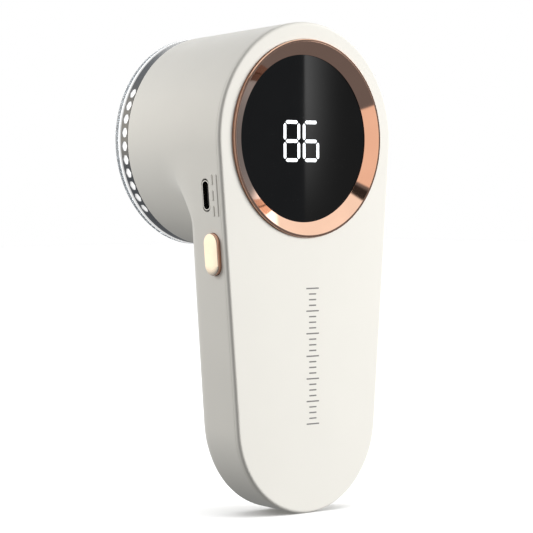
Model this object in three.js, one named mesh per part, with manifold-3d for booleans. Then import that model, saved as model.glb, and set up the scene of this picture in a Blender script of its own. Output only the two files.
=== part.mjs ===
// A handheld rechargeable fabric shaver. A flat paddle-shaped body carries a round head that reaches back
// from its wide end. The face has a round display in a conical trim ring. The side has a charging socket and
// a power button. Behind the head a perforated foil covers a six-armed blade on a sprung, motor-driven hub.
// The parts are separate solids: casings, display, circuit board, battery, motor, drive, blade and foil.
//
// Sections across the head axis are drawn in x and z about that axis. "Depth" is the distance behind the flat
// front face, along the head axis (+Y), so a lathe profile is a list of [radius, depth].
import * as THREE from "three";
import { mergeVertices } from "three/addons/utils/BufferGeometryUtils.js";
import Module from "manifold-3d";

const wasm = await Module();
wasm.setup();

// ---------------------------------------------------------------- driving dimensions, in millimetres
const HEAD_RADIUS = 35.2; // wide end of the paddle outline, at the front edge
const FOOT_RADIUS = 28.3; // narrow end
const FOOT_DROP = 85.4; // from the head axis down to the centre of the foot arc
const HANDLE_DEPTH = 17.6; // front face to the flat back of the handle
const BARREL_RIM = 46.5; // depth of the head barrel's open end
const DRAFT = 0.055; // radius lost per millimetre of depth
const EDGE = 1.0; // rounding of the front edge
const WALL = 1.8;
const SEAM = 1.5; // depth of the joint between the front cover and the housing
const SEAM_GAP = 0.25;
const COVER_THICKNESS = 2.0;
const BLEND = 3.0; // rounding of the handle's rear edge and of the barrel's root
const INNER_BLEND = 1.2;

const TRIM_RADIUS = 30.0; // outer radius of the trim ring
const WINDOW_RADIUS = 25.35; // visible radius of the display
const TRIM_PROUD = 0.8;
const TRIM_SEAT = 0.3; // how far the trim ring's flange sinks into the cover
const LENS_FRONT = 1.75;
const LENS_BACK = 3.15;
const LENS_RADIUS = 27.9;
const CLEARANCE = 0.2;

const BOARD_FRONT = 9.9;
const BOARD_BACK = 11.1;
const BOARD_RADIUS = 30.5;

const FOIL_RADIUS = 32.4;
const FOIL_FRONT = 46.8; // open edge of the foil cap's skirt
const FOIL_FACE = 50.35; // outer face of the foil
const FOIL_THICKNESS = 0.5;
const SIDE_HOLE_GROUPS = [187, 307, 67].map((a) => (a * Math.PI) / 180); // middles, from +X towards +Z
const SIDE_HOLE_SPREAD = Math.PI / 3; // from the first to the last hole of a group
const GUARD_NEAR = 50.6;
const GUARD_FACE = 53.0; // face of the clear guard that meets the fabric

const RING_STEPS = 40; // facets of the large round parts
const SMALL_STEPS = 10;
const HOLE_STEPS = 8;

const TAPER = Math.asin((HEAD_RADIUS - FOOT_RADIUS) / FOOT_DROP);
const HEAD_HEIGHT = FOOT_DROP + FOOT_RADIUS; // the head axis above the foot
const MID_DEPTH = (GUARD_FACE - TRIM_PROUD) / 2; // the origin is under the middle of the whole depth
const WELD = 1e-4;

// ---------------------------------------------------------------- materials
const finish = (color, roughness, metalness = 0) =>
  new THREE.MeshStandardMaterial({ color, roughness, metalness });

const ivoryPlastic = finish(0xe9e7df, 0.42);
const whitePlastic = finish(0xf2f2ef, 0.45);
const blackPlastic = finish(0x1b1b1d, 0.5);
const greyPlastic = finish(0x8c8f92, 0.5);
const roseGold = finish(0xd9a083, 0.16, 1);
const smokedGlass = finish(0x0c0c0e, 0.06);
const clearPlastic = new THREE.MeshStandardMaterial({
  color: 0xdfe8ee,
  roughness: 0.08,
  transparent: true,
  opacity: 0.35,
});
const steel = finish(0xa9abad, 0.28, 1);
const darkSteel = finish(0x6d6f71, 0.35, 1);
const brass = finish(0xc9a45a, 0.3, 1);
const copper = finish(0xb8734a, 0.35, 1);
const boardGreen = finish(0x1f4a34, 0.45);
const batteryFoil = finish(0xb9bcc0, 0.4, 0.6);
const foam = finish(0x2b2b2d, 0.95);
const redSleeve = finish(0xb3261e, 0.5);
const blackSleeve = finish(0x161617, 0.5);
const magnetGrey = finish(0x4a4b4e, 0.6, 0.4);

// ---------------------------------------------------------------- solids
function asSolid(geometry) {
  const bare = new THREE.BufferGeometry();
  bare.setAttribute("position", geometry.getAttribute("position"));
  if (geometry.index) bare.setIndex(geometry.index);
  const welded = mergeVertices(bare, WELD);
  const corner = welded.index.array;
  const triVerts = [];
  for (let i = 0; i < corner.length; i += 3) {
    const [a, b, c] = [corner[i], corner[i + 1], corner[i + 2]];
    if (a !== b && b !== c && c !== a) triVerts.push(a, b, c); // a lathe leaves empty triangles on its axis
  }
  const vertProperties = new Float32Array(welded.getAttribute("position").array);
  const build = (tris) => new wasm.Manifold(new wasm.Mesh({ numProp: 3, vertProperties, triVerts: tris }));
  const solid = build(new Uint32Array(triVerts));
  return solid.volume() < 0 ? build(new Uint32Array(triVerts.reverse())) : solid;
}

function asGeometry(solid) {
  const { vertProperties, triVerts } = solid.getMesh();
  const geometry = new THREE.BufferGeometry();
  geometry.setAttribute("position", new THREE.BufferAttribute(new Float32Array(vertProperties), 3));
  geometry.setIndex(new THREE.BufferAttribute(new Uint32Array(triVerts), 1));
  return geometry;
}

const join = (...shapes) => asGeometry(shapes.map(asSolid).reduce((whole, shape) => whole.add(shape)));
const cut = (shape, ...tools) =>
  asGeometry(tools.map(asSolid).reduce((rest, tool) => rest.subtract(tool), asSolid(shape)));

// A solid of revolution about the head axis.
function lathe(profile, steps = RING_STEPS) {
  return new THREE.LatheGeometry(
    profile.map(([radius, depth]) => new THREE.Vector2(radius, depth)),
    steps,
  );
}

const disc = (radius, near, far, steps = RING_STEPS) =>
  lathe([[0, near], [radius, near], [radius, far], [0, far]], steps);

const ring = (inner, outer, near, far, steps = RING_STEPS) =>
  lathe([[inner, near], [outer, near], [outer, far], [inner, far], [inner, near]], steps);

const pin = (x, z, radius, near, far, steps = SMALL_STEPS) =>
  disc(radius, near, far, steps).translate(x, 0, z);

const hexPin = (acrossFlats, near, far) => disc(acrossFlats / Math.sqrt(3), near, far, 6);

function box(x0, x1, near, far, z0, z1) {
  const block = new THREE.BoxGeometry(x1 - x0, far - near, z1 - z0);
  return block.translate((x0 + x1) / 2, (near + far) / 2, (z0 + z1) / 2);
}

// A shape drawn in x and z, extruded through a range of depth.
function plate(shape, near, far, curveSegments = 12) {
  const flat = new THREE.ExtrudeGeometry(shape, { depth: far - near, bevelEnabled: false, curveSegments });
  return flat.translate(0, 0, -far).rotateX(Math.PI / 2);
}

// A bar along x whose section, a slot with round ends, is `length` along z and `width` in depth.
function slotBar(x0, x1, length, width, depth, z, curveSegments = 6) {
  const straight = (length - width) / 2;
  const slot = new THREE.Shape();
  slot.absarc(0, straight, width / 2, 0, Math.PI, false);
  slot.absarc(0, -straight, width / 2, Math.PI, 2 * Math.PI, false);
  const bar = new THREE.ExtrudeGeometry(slot, { depth: x1 - x0, bevelEnabled: false, curveSegments });
  const turned = new THREE.Matrix4().makeBasis(
    new THREE.Vector3(0, 1, 0),
    new THREE.Vector3(0, 0, 1),
    new THREE.Vector3(1, 0, 0),
  );
  return bar.applyMatrix4(turned).translate(x0, depth, z);
}

function barX(x0, x1, radius, depth, z, steps = SMALL_STEPS) {
  const bar = new THREE.CylinderGeometry(radius, radius, x1 - x0, steps);
  return bar.rotateZ(Math.PI / 2).translate((x0 + x1) / 2, depth, z);
}

// A round wire through the given points.
function wire(points, radius, stepsAlong, sides = 8) {
  const section = new THREE.Shape();
  section.absarc(0, 0, radius, 0, 2 * Math.PI, false);
  return new THREE.ExtrudeGeometry(section, {
    steps: stepsAlong,
    curveSegments: sides / 2,
    extrudePath: new THREE.CatmullRomCurve3(points.map((p) => new THREE.Vector3(...p))),
  });
}

// ---------------------------------------------------------------- the paddle outline
// Angles, about the head axis, of the points that trace the outline: head arc, left side, foot arc and
// right side.
function outlineAngles(headSteps = 24, sideSteps = 8, footSteps = 10) {
  const spread = (from, to, steps) =>
    Array.from({ length: steps }, (_, i) => from + ((to - from) * i) / steps);
  const onFoot = (a) => Math.atan2(FOOT_RADIUS * Math.sin(a) - FOOT_DROP, FOOT_RADIUS * Math.cos(a));
  const [footLeft, footRight] = [Math.PI + TAPER, 2 * Math.PI - TAPER];
  return [
    ...spread(-TAPER, footLeft, headSteps),
    ...spread(TAPER - Math.PI, onFoot(footLeft), sideSteps),
    ...spread(footLeft, footRight, footSteps).map(onFoot),
    ...spread(onFoot(footRight), -TAPER, sideSteps),
  ];
}

// Distance from the head axis to the outline, drawn in by `inset`, in the direction of an angle.
function paddleReach(angle, inset) {
  const head = HEAD_RADIUS - inset;
  const foot = FOOT_RADIUS - inset;
  const [dx, dz] = [Math.abs(Math.cos(angle)), Math.sin(angle)];
  if (Math.atan2(dz, dx) >= -TAPER) return head;
  const footTangent = Math.atan2(-FOOT_DROP - foot * Math.sin(TAPER), foot * Math.cos(TAPER));
  if (Math.atan2(dz, dx) > footTangent) return head / (dx * Math.cos(TAPER) - dz * Math.sin(TAPER));
  const drop = -dz * FOOT_DROP;
  return drop + Math.sqrt(drop * drop - FOOT_DROP * FOOT_DROP + foot * foot);
}

// A closed stack of rings about the head axis; each ring is [depth, angle => radius].
function stack(rings, angles = outlineAngles()) {
  const n = angles.length;
  const position = [];
  const index = [];
  for (const [depth, reach] of rings)
    for (const a of angles) position.push(reach(a) * Math.cos(a), depth, reach(a) * Math.sin(a));
  for (let r = 0; r + 1 < rings.length; r++)
    for (let i = 0; i < n; i++) {
      const [a, b] = [r * n + i, r * n + ((i + 1) % n)];
      index.push(a, a + n, b, b, a + n, b + n);
    }
  const near = position.length / 3;
  position.push(0, rings[0][0], 0, 0, rings.at(-1)[0], 0);
  const last = (rings.length - 1) * n;
  for (let i = 0; i < n; i++) {
    const j = (i + 1) % n;
    index.push(near, i, j, near + 1, last + j, last + i);
  }
  const geometry = new THREE.BufferGeometry();
  geometry.setAttribute("position", new THREE.Float32BufferAttribute(position, 3));
  geometry.setIndex(index);
  return geometry;
}

const paddleRing = (depth, inset) => [depth, (a) => paddleReach(a, inset)];
const draftInset = (depth) => DRAFT * (depth - EDGE);
const barrelRadius = (depth) => HEAD_RADIUS - draftInset(depth);

// The housing's outer shape, or its cavity when `wall` is above 0: a drafted paddle with a rounded rear edge
// that runs into the round barrel through a fillet. Where the two outlines meet, both roundings fade out.
function bodyShape(wall, blend, near, far, roundingSteps) {
  const back = HANDLE_DEPTH - wall;
  const paddle = (a, depth) => paddleReach(a, draftInset(depth) + wall);
  const barrel = (depth) => barrelRadius(depth) - wall;
  const rounding = (a, depth) => Math.min(blend, (paddle(a, depth) - barrel(depth)) / 2);
  const quarter = Array.from({ length: roundingSteps + 1 }, (_, i) => (i * Math.PI) / 2 / roundingSteps);
  const edge = quarter.map((t) => {
    const depth = back - blend * (1 - Math.sin(t));
    return [depth, (a) => paddle(a, depth) - rounding(a, depth) * (1 - Math.cos(t))];
  });
  const root = quarter.map((t) => {
    const depth = back + blend * (1 - Math.cos(t));
    return [depth, (a) => barrel(depth) + rounding(a, depth) * (1 - Math.sin(t))];
  });
  return stack([[near, (a) => paddle(a, near)], ...edge, ...root, [far, () => barrel(far)]]);
}

// ---------------------------------------------------------------- where things fasten
const COVER_SCREWS = [[-24.3, -52], [24.3, -52], [0, -106]];
const BOARD_SCREWS = [45, 135, 270].map((degrees) => {
  const a = THREE.MathUtils.degToRad(degrees);
  return [27.4 * Math.cos(a), 27.4 * Math.sin(a)];
});
// The motor holder's flange, which floors the lint chamber.
const DECK = { radius: 31.2, near: 28, far: 29.6 };
const DECK_RADIUS = 26.5;
const DECK_SCREWS = [90, 210, 330].map((degrees) => THREE.MathUtils.degToRad(degrees));
const deckPin = (a, radius, near, far) =>
  pin(DECK_RADIUS * Math.cos(a), DECK_RADIUS * Math.sin(a), radius, near, far, HOLE_STEPS);
const MOTOR_SCREWS = [-6, 6];
const GUARD_PEG_RADIUS = 30.25;
const GUARD_PEGS = [0, 90, 180, 270].map((degrees) => THREE.MathUtils.degToRad(degrees));
const GUARD_HOLE = 1.0;
const GUARD_PEG = 0.8;

// The left side wall is flat. In this frame, turned by the taper about the head axis, the wall lies across x,
// so the socket and the button sit square to it.
const side = new THREE.Group();
side.rotation.y = -TAPER;
side.updateMatrix();
const onSide = (geometry) => geometry.applyMatrix4(side.matrix);

const SOCKET = { depth: 8.2, z: -14.3, length: 8.94, width: 3.26, mouth: -34.6, tail: -27.4, shell: 0.3 };
const SOCKET_HOLE = { length: 9.8, width: 3.66 };
const BUTTON = {
  depth: 6.0,
  z: -31.8,
  length: 12.6,
  width: 6.2,
  top: -36.3,
  shoulder: -32.7,
  flange: 1.0,
  stem: -29.6,
};
const BUTTON_TRAVEL = 0.6;
const SWITCH = { depth: 6.4, z: BUTTON.z, face: -27.8, back: -23.8 };

// ---------------------------------------------------------------- casings
function rearHousing() {
  const shell = cut(
    bodyShape(0, BLEND, SEAM + SEAM_GAP, BARREL_RIM, 2),
    bodyShape(WALL, INNER_BLEND, SEAM, BARREL_RIM + 1, 1),
  );
  const bosses = COVER_SCREWS.map(([x, z]) => pin(x, z, 3.2, 10, HANDLE_DEPTH - WALL / 2));
  const pillarReach = barrelRadius(DECK.near) - WALL / 2;
  const pillars = DECK_SCREWS.map((a) =>
    box(DECK_RADIUS - 2.6, pillarReach, 18, DECK.near - CLEARANCE, -2.6, 2.6).rotateY(-a),
  );
  const screwHoles = COVER_SCREWS.flatMap(([x, z]) => [
    pin(x, z, 1.5, 9, HANDLE_DEPTH, HOLE_STEPS),
    pin(x, z, 2.8, 12.4, HANDLE_DEPTH + 1),
  ]);
  const pillarHoles = DECK_SCREWS.map((a) => deckPin(a, 1.15, 19, DECK.near));
  return cut(
    join(shell, ...bosses, ...pillars),
    ...screwHoles,
    ...pillarHoles,
    onSide(slotBar(-37, -31, SOCKET_HOLE.length, SOCKET_HOLE.width, SOCKET.depth, SOCKET.z)),
    onSide(slotBar(-37, -31, BUTTON.length + 0.3, BUTTON.width + 0.3, BUTTON.depth, BUTTON.z)),
  );
}

function frontCover() {
  const edge = [0, 45, 90].map((degrees) => {
    const t = THREE.MathUtils.degToRad(degrees);
    return paddleRing(EDGE * (1 - Math.cos(t)), EDGE * (1 - Math.sin(t)));
  });
  const tongue = WALL + 0.5;
  const tray = cut(
    stack([...edge, paddleRing(SEAM, 0), paddleRing(SEAM, tongue), paddleRing(4.5, tongue)]),
    stack([paddleRing(COVER_THICKNESS, tongue + 1), paddleRing(5, tongue + 1)]),
  );
  const collar = ring(LENS_RADIUS + 0.3, TRIM_RADIUS - 0.2, SEAM, 4.9);
  const ledge = ring(25.6, LENS_RADIUS + 1, 3.9, 4.9);
  const posts = COVER_SCREWS.map(([x, z]) => pin(x, z, 2.6, SEAM, 9.6));
  const boardPosts = BOARD_SCREWS.map(([x, z]) => pin(x, z, 2.1, 4.5, BOARD_FRONT - CLEARANCE));
  return cut(
    join(
      cut(tray, disc(LENS_RADIUS + 0.3, -1, 6), disc(TRIM_RADIUS + 0.15, -1, TRIM_SEAT + 0.1)),
      collar,
      ledge,
      ...posts,
      ...boardPosts,
    ),
    ...COVER_SCREWS.map(([x, z]) => pin(x, z, 1.4, 3.4, 10, HOLE_STEPS)),
    ...BOARD_SCREWS.map(([x, z]) => pin(x, z, 1.05, 5.3, 10, HOLE_STEPS)),
    onSide(box(-36, -29, COVER_THICKNESS, 5, BUTTON.z - 7.6, BUTTON.z + 7.6)),
  );
}

// ---------------------------------------------------------------- display
function trimRing() {
  const back = LENS_FRONT - 0.1;
  const [bevel, lip] = [0.3, 0.7];
  return lathe([
    [TRIM_RADIUS, TRIM_SEAT],
    [TRIM_RADIUS, bevel - TRIM_PROUD],
    [TRIM_RADIUS - bevel, -TRIM_PROUD],
    [TRIM_RADIUS - lip, -TRIM_PROUD],
    [WINDOW_RADIUS, back - bevel / 2],
    [WINDOW_RADIUS, back],
    [LENS_RADIUS + 0.1, back],
    [LENS_RADIUS + 0.1, TRIM_SEAT],
    [TRIM_RADIUS, TRIM_SEAT],
  ]);
}

// One seven-segment bar, drawn along x as a long hexagon, then turned upright where needed.
function segmentBar(x, z, length, width, upright, near, far) {
  const [half, tip] = [length / 2, width / 2];
  const upper = [[-half, 0], [-half + tip, tip], [half - tip, tip]];
  const outline = [...upper, ...upper.map(([u, v]) => [-u, -v])];
  const place = ([u, v]) => (upright ? new THREE.Vector2(x + v, z - u) : new THREE.Vector2(x + u, z + v));
  return plate(new THREE.Shape(outline.map(place)), near, far);
}

const DIGIT = { centres: [-4.9, 2.93], z: -0.78, width: 5.9, height: 11.7, stroke: 1.05 };

function ledModule() {
  const face = 3.6;
  const block = box(-11, 9, face, BOARD_FRONT - CLEARANCE, DIGIT.z - 8, DIGIT.z + 8);
  const [halfWide, halfHigh, gap] = [DIGIT.width / 2, DIGIT.height / 2, 0.4];
  const bar = (x, dz, length, upright) =>
    segmentBar(x, DIGIT.z + dz, length - gap, DIGIT.stroke, upright, face - 0.2, face + 0.3);
  const bars = DIGIT.centres.flatMap((x) => [
    ...[-halfHigh, 0, halfHigh].map((dz) => bar(x, dz, DIGIT.width, false)),
    ...[-halfHigh / 2, halfHigh / 2].flatMap((dz) => [
      bar(x - halfWide, dz, halfHigh, true),
      bar(x + halfWide, dz, halfHigh, true),
    ]),
  ]);
  return join(block, ...bars);
}

// ---------------------------------------------------------------- circuit board and controls
function mainBoard() {
  const tab = box(-28.5, -10, BOARD_FRONT, BOARD_BACK, -44, -10);
  return cut(
    join(disc(BOARD_RADIUS, BOARD_FRONT, BOARD_BACK, 36), tab),
    ...BOARD_SCREWS.map(([x, z]) => pin(x, z, 1.2, BOARD_FRONT - 1, BOARD_BACK + 1, HOLE_STEPS)),
  );
}

function socketShell() {
  const { mouth, tail, length, width, depth, z, shell } = SOCKET;
  return cut(
    slotBar(mouth, tail, length, width, depth, z),
    slotBar(mouth - 1, tail + 1, length - 2 * shell, width - 2 * shell, depth, z),
  );
}

function socketTongue() {
  const { mouth, tail, length, width, depth, z, shell } = SOCKET;
  const block = slotBar(tail - 1.4, tail + 0.2, length - 2 * shell - 0.2, width - 2 * shell - 0.2, depth, z);
  return join(block, box(mouth + 0.7, tail - 1, depth - 0.35, depth + 0.35, z - 3.3, z + 3.3));
}

function powerButton() {
  const { top, shoulder, length, width, depth, z, flange, stem } = BUTTON;
  const rounding = 0.4;
  const cap = join(
    slotBar(top, top + rounding, length - 2 * rounding, width - 2 * rounding, depth, z),
    slotBar(top + rounding, shoulder + 0.5, length, width, depth, z),
  );
  const retainer = slotBar(shoulder, shoulder + flange, length + 1.2, width + 1.0, depth, z);
  return join(cap, retainer, box(shoulder + 0.5, stem, depth - 1.6, depth + 2, z - 3, z + 3));
}

const switchPlunger = () => barX(BUTTON.stem + 0.15, SWITCH.face + 0.1, 1.5, SWITCH.depth, SWITCH.z);

function tactSwitch() {
  const { face, back, depth, z } = SWITCH;
  const plungerRoom = face + BUTTON_TRAVEL + CLEARANCE + 0.1;
  return cut(
    box(face, back, depth - 1.9, BOARD_FRONT - CLEARANCE, z - 3.1, z + 3.1),
    barX(face - 1, plungerRoom, 1.7, depth, z),
  );
}

// ---------------------------------------------------------------- fasteners
function panScrew(x, z, headDepth, headRadius, headHeight, shankRadius, length) {
  const facets = 10;
  const slotWidth = headRadius * 0.3;
  const slotReach = headRadius * 0.62;
  const far = headDepth + headHeight;
  const body = lathe(
    [
      [0, headDepth - length],
      [shankRadius, headDepth - length + 1],
      [shankRadius, headDepth],
      [headRadius, headDepth],
      [headRadius, headDepth + headHeight * 0.55],
      [headRadius * 0.75, far],
      [0, far],
    ],
    facets,
  );
  const recess = [0, Math.PI / 2].map((a) =>
    box(-slotReach, slotReach, far - headHeight * 0.6, far + 1, -slotWidth / 2, slotWidth / 2).rotateY(a),
  );
  return cut(body, ...recess).translate(x, 0, z);
}

// ---------------------------------------------------------------- battery
const CELL = { halfWidth: 17, near: 5.0, far: 13.5, top: -52, bottom: -98 };

function batteryCell() {
  const corner = 1.6;
  const { halfWidth: w, near, far } = CELL;
  const section = new THREE.Shape();
  section.moveTo(-w + corner, near);
  section.lineTo(w - corner, near);
  section.absarc(w - corner, near + corner, corner, -Math.PI / 2, 0, false);
  section.absarc(w - corner, far - corner, corner, 0, Math.PI / 2, false);
  section.absarc(-w + corner, far - corner, corner, Math.PI / 2, Math.PI, false);
  section.absarc(-w + corner, near + corner, corner, Math.PI, 1.5 * Math.PI, false);
  const height = CELL.top - CELL.bottom;
  const pouch = new THREE.ExtrudeGeometry(section, { depth: height, bevelEnabled: false, curveSegments: 3 });
  return pouch.translate(0, 0, CELL.bottom);
}

// ---------------------------------------------------------------- motor and drive
const MOTOR = { radius: 12, skin: 0.7, rear: 15.5, front: 34, shaft: 1.0 };

const MOTOR_TERMINALS = [-6, 6];

function motorCan() {
  const { radius, skin, rear, front } = MOTOR;
  return cut(
    join(disc(radius, rear, front, 32), disc(3.4, front - 0.5, front + 1.6, 16)),
    disc(radius - skin, rear - 1, front - 0.8, 32),
    disc(2.6, rear, front + 2, 16),
    ...MOTOR_SCREWS.map((x) => pin(x, 0, 1.05, front - 2, front + 1, HOLE_STEPS)),
  );
}

function motorEndCap() {
  const { radius, rear } = MOTOR;
  return cut(
    join(disc(radius - 0.1, rear - 1.5, rear - 0.1, 32), ring(9, 11.1, rear - 0.5, rear + 1.2, 32)),
    disc(1.2, rear - 3, rear + 3, HOLE_STEPS),
    ...MOTOR_TERMINALS.map((x) => box(x - 1.2, x + 1.2, rear - 2.5, rear + 0.5, -0.5, 0.5)),
  );
}

const motorTerminal = (x) => box(x - 1.0, x + 1.0, 12.1, 17.2, -0.25, 0.25);

function magnet(sign) {
  const [inner, outer, spread] = [10.3, 11.15, THREE.MathUtils.degToRad(55)];
  const middle = sign > 0 ? 0 : Math.PI;
  const arc = new THREE.Shape();
  arc.absarc(0, 0, outer, middle - spread, middle + spread, false);
  arc.absarc(0, 0, inner, middle + spread, middle - spread, true);
  return plate(arc, 18, 30, 6);
}

// Three poles on one core, each wound with copper wire under its shoe.
function armature() {
  const halfShoe = THREE.MathUtils.degToRad(50);
  const poles = [30, 150, 270].flatMap((degrees) => {
    const a = THREE.MathUtils.degToRad(degrees);
    const shoe = new THREE.Shape();
    shoe.absarc(0, 0, 9.9, a - halfShoe, a + halfShoe, false);
    shoe.absarc(0, 0, 8.2, a + halfShoe, a - halfShoe, true);
    return [plate(shoe, 18.6, 29.6, 5), box(2.5, 9, 18.8, 29.4, -2.9, 2.9).rotateY(-a)];
  });
  return cut(join(disc(4, 18.4, 30, 24), ...poles), disc(1.08, 17, 31, SMALL_STEPS));
}

// The motor holder: a cup round the motor, closed in front, with a flange that floors the lint chamber.
function motorHolder() {
  return cut(
    join(disc(13.7, 22, 36.2, 32), disc(DECK.radius, DECK.near, DECK.far)),
    disc(MOTOR.radius + CLEARANCE, 21, MOTOR.front + 0.6, 32),
    disc(3.9, 30, 40, 16),
    ...MOTOR_SCREWS.map((x) => pin(x, 0, 1.05, 33, 37, HOLE_STEPS)),
    ...DECK_SCREWS.map((a) => deckPin(a, 1.3, DECK.near - 1, DECK.far + 1)),
  );
}

const driveCoupler = () =>
  cut(join(disc(7.5, 38, 39.2, 24), hexPin(5.6, 39, 46)), disc(1.08, 37, 44.3, SMALL_STEPS));

// ---------------------------------------------------------------- blade
const bladeHub = () =>
  cut(
    join(disc(5.2, 41.4, 46.8, 20), disc(10.5, 46.6, 48.25, 24)),
    hexPin(6.0, 41, 47.3),
    disc(1.45, 47, 49, SMALL_STEPS),
  );

function bladeStar() {
  const arms = 6;
  const [root, tip, sweep] = [8, 28.4, THREE.MathUtils.degToRad(14)];
  const halfRoot = THREE.MathUtils.degToRad(20);
  const halfTip = THREE.MathUtils.degToRad(5.5);
  const polar = (r, a) => new THREE.Vector2(r * Math.cos(a), r * Math.sin(a));
  const shapes = Array.from({ length: arms }, (_, k) => {
    const a = (2 * Math.PI * k) / arms;
    const arm = new THREE.Shape([polar(root, a - halfRoot), polar(tip, a + sweep - halfTip)]);
    arm.absarc(0, 0, tip, a + sweep - halfTip, a + sweep + halfTip, false);
    arm.lineTo(...polar(root, a + halfRoot).toArray());
    return plate(arm, 48.7, 49.6, 2);
  });
  return cut(join(disc(10, 48.45, 49.05, 24), ...shapes), disc(1.5, 48, 50, SMALL_STEPS));
}

const bladeRivet = () => join(disc(1.3, 47.6, 49.2, SMALL_STEPS), disc(2.6, 49.15, 49.6, SMALL_STEPS));

function bladeSpring() {
  const [turns, stepsPerTurn, radius, near, far] = [4, 10, 6.3, 39.6, 46.2];
  const coil = Array.from({ length: turns * stepsPerTurn + 1 }, (_, i) => {
    const t = i / (turns * stepsPerTurn);
    const a = 2 * Math.PI * turns * t;
    return [radius * Math.cos(a), near + (far - near) * t, radius * Math.sin(a)];
  });
  return wire(coil, 0.33, turns * stepsPerTurn, 4);
}

// ---------------------------------------------------------------- foil cap and guard
const guardPegs = (radius, near, far) =>
  GUARD_PEGS.map((a) =>
    pin(GUARD_PEG_RADIUS * Math.cos(a), GUARD_PEG_RADIUS * Math.sin(a), radius, near, far, 6),
  );

function foilCap() {
  const [pitch, holeFlats, reach] = [9.6, 7.8, 26.5];
  const inner = FOIL_FACE - FOIL_THICKNESS;
  const cap = lathe([
    [0, FOIL_FACE],
    [FOIL_RADIUS - 0.4, FOIL_FACE],
    [FOIL_RADIUS, FOIL_FACE - 0.4],
    [FOIL_RADIUS, FOIL_FRONT],
    [FOIL_RADIUS - FOIL_THICKNESS, FOIL_FRONT],
    [FOIL_RADIUS - FOIL_THICKNESS, inner],
    [0, inner],
  ]);
  const holes = [];
  const rows = Math.ceil(reach / pitch);
  for (let i = -rows; i <= rows; i++)
    for (let j = -rows; j <= rows; j++) {
      const [x, z] = [pitch * (i + j / 2), (pitch * j * Math.sqrt(3)) / 2];
      const solidCentre = i === 0 && j === 0;
      if (!solidCentre && Math.hypot(x, z) < reach)
        holes.push(hexPin(holeFlats, inner - 1, FOIL_FACE + 1).translate(x, 0, z));
    }
  const sideHoles = SIDE_HOLE_GROUPS.flatMap((middle) =>
    [-2, -1, 0, 1, 2].map((k) => {
      const hole = box(FOIL_RADIUS - 2, FOIL_RADIUS + 2, 47.6, 49.4, -3.3, 3.3);
      return hole.rotateY(-middle - (k * SIDE_HOLE_SPREAD) / 4);
    }),
  );
  return cut(cap, ...holes, ...sideHoles, ...guardPegs(GUARD_HOLE, inner - 1, FOIL_FACE + 1));
}

// The foil cap is moulded onto this plug, which is a light press fit in the barrel.
function foilCarrier() {
  const [inner, plug, flange] = [28.9, 30.4, 31.6];
  const [near, far] = [41, 49.7];
  const body = lathe([
    [inner, near],
    [plug, near],
    [plug, FOIL_FRONT],
    [flange, FOIL_FRONT],
    [flange, far],
    [inner, far],
    [inner, near],
  ]);
  return cut(body, ...guardPegs(GUARD_HOLE, far - 1.8, far + 1));
}

function guardRing() {
  const [inner, outer, chamfer] = [28.6, 32.6, 0.5];
  const body = lathe([
    [inner, GUARD_NEAR],
    [outer, GUARD_NEAR],
    [outer, GUARD_FACE - chamfer],
    [outer - chamfer, GUARD_FACE],
    [inner, GUARD_FACE],
    [inner, GUARD_NEAR],
  ]);
  return join(body, ...guardPegs(GUARD_PEG, 48.2, GUARD_NEAR + 0.5));
}

// ---------------------------------------------------------------- assembly
const shaver = new THREE.Group();
shaver.position.set(0, -MID_DEPTH, HEAD_HEIGHT);
shaver.add(side);

function add(name, geometry, material, parent = shaver) {
  const mesh = new THREE.Mesh(asGeometry(asSolid(geometry)), material);
  mesh.name = name;
  parent.add(mesh);
}

add("rear_housing", rearHousing(), ivoryPlastic);
add("front_cover", frontCover(), ivoryPlastic);
add("trim_ring", trimRing(), roseGold);
add("display_lens", disc(LENS_RADIUS, LENS_FRONT, LENS_BACK), smokedGlass);
add("lens_tape", ring(25.8, LENS_RADIUS, LENS_BACK + 0.1, 3.8), foam);
add("led_display", ledModule(), whitePlastic);

add("main_board", mainBoard(), boardGreen);
add("controller_chip", box(-4, 4, 11.2, 12.3, -23, -15), blackPlastic);
add("charger_chip", box(-25, -20, 11.2, 12.4, -30, -25), blackPlastic);
add("charger_coil", box(-18, -12, 11.2, 13.6, -31, -25), greyPlastic);
BOARD_SCREWS.forEach(([x, z], i) =>
  add(`board_screw_${i + 1}`, panScrew(x, z, BOARD_BACK + 0.1, 1.9, 1.2, 0.9, 5.4), steel),
);

add("charging_socket_shell", socketShell(), steel, side);
add("charging_socket_tongue", socketTongue(), blackPlastic, side);
add("power_button", powerButton(), roseGold, side);
add("switch_plunger", switchPlunger(), whitePlastic, side);
add("power_switch", tactSwitch(), blackPlastic, side);

COVER_SCREWS.forEach(([x, z], i) =>
  add(`cover_screw_${i + 1}`, panScrew(x, z, 12.5, 2.5, 1.7, 1.25, 8.5), darkSteel),
);

add("battery_cell", batteryCell(), batteryFoil);
add("battery_board", box(-14, 14, 8.6, 9.8, -51.7, -47.6), boardGreen);
add("battery_pad", box(-14, 14, 2.3, 4.7, -95, -58), foam);

const LEAD_RADIUS = 0.6;
const batteryLead = (x) => [
  [x, 10.7, -50.5],
  [x - 0.6, 12.0, -48],
  [x - 4, 12.8, -45.5],
  [x - 7, 12.4, -42],
  [x - 7.6, 11.9, -39],
];
const motorLead = (x, out) => [
  [x + out * 1.8, 12.9, 0],
  [x + out * 6, 13.4, -1.5],
  [x + out * 9.5, 13.2, -5],
  [x + out * 10.5, 12.0, -9],
];
add("battery_lead_red", wire(batteryLead(-11), LEAD_RADIUS, 14), redSleeve);
add("battery_lead_black", wire(batteryLead(-7), LEAD_RADIUS, 14), blackSleeve);

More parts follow.
